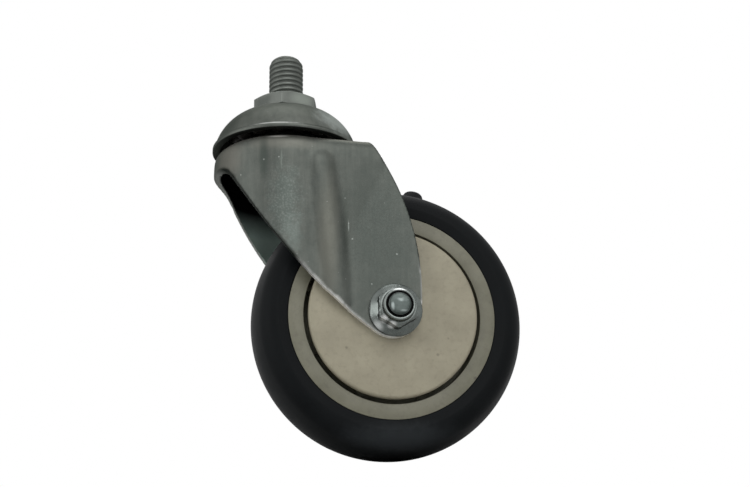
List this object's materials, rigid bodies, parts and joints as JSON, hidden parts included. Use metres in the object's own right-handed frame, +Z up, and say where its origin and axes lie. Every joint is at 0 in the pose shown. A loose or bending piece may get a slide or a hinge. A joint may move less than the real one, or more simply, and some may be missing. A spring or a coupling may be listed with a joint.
{
  "type": "threaded stem castor",
  "caption": "Swivel castor with a threaded stem, pressed zinc-plated fork, thread guards and a rubber-tyred wheel; bolts under furniture or a trolley and rolls any way.",
  "frame": {"origin": "on the stem axis at the seat, the top face of the hex", "axes": "+Z up the stem, +X from the stem axis towards the trailing wheel, Y along the axle with the nut at -Y"},
  "size_m": [0.0867, 0.0457, 0.1179],
  "materials": {
    "zinc_steel": "satin zinc plating",
    "bright_zinc": "bright zinc plating",
    "race_steel": "ground steel",
    "insert_plastic": "moulded",
    "rim_plastic": "moulded, satin",
    "guard_plastic": "moulded, speckled",
    "tyre_rubber": "moulded, soft sheen"
  },
  "bodies": {
    "swivel_head": {"threaded_stem": "zinc_steel", "swivel_dome": "zinc_steel", "lower_race_cup": "race_steel", "lower_swivel_balls": "race_steel"},
    "fork_assembly": {"fork": "zinc_steel", "axle_bolt": "bright_zinc", "axle_nut": "bright_zinc", "axle_sleeve": "bright_zinc", "upper_swivel_balls": "race_steel", "nut_insert": "insert_plastic", "near_thread_guard": "guard_plastic", "near_bearing_inner_ring": "race_steel", "near_bearing_balls": "race_steel", "near_bearing_cage": "race_steel", "far_thread_guard": "guard_plastic", "far_bearing_inner_ring": "race_steel", "far_bearing_balls": "race_steel", "far_bearing_cage": "race_steel"},
    "wheel_assembly": {"wheel_rim": "rim_plastic", "tyre": "tyre_rubber", "near_bearing_outer_ring": "race_steel", "near_bearing_shields": "race_steel", "far_bearing_outer_ring": "race_steel", "far_bearing_shields": "race_steel"}
  },
  "joints": [
    {"name": "swivel", "type": "hinge", "parent": "swivel_head", "child": "fork_assembly", "pos_m": [0, 0, 0], "axis": [0, 0, 1], "continuous": true},
    {"name": "wheel_spin", "type": "hinge", "parent": "fork_assembly", "child": "wheel_assembly", "pos_m": [0.0282, 0, -0.0664], "axis": [0, 1, 0], "continuous": true}
  ]
}
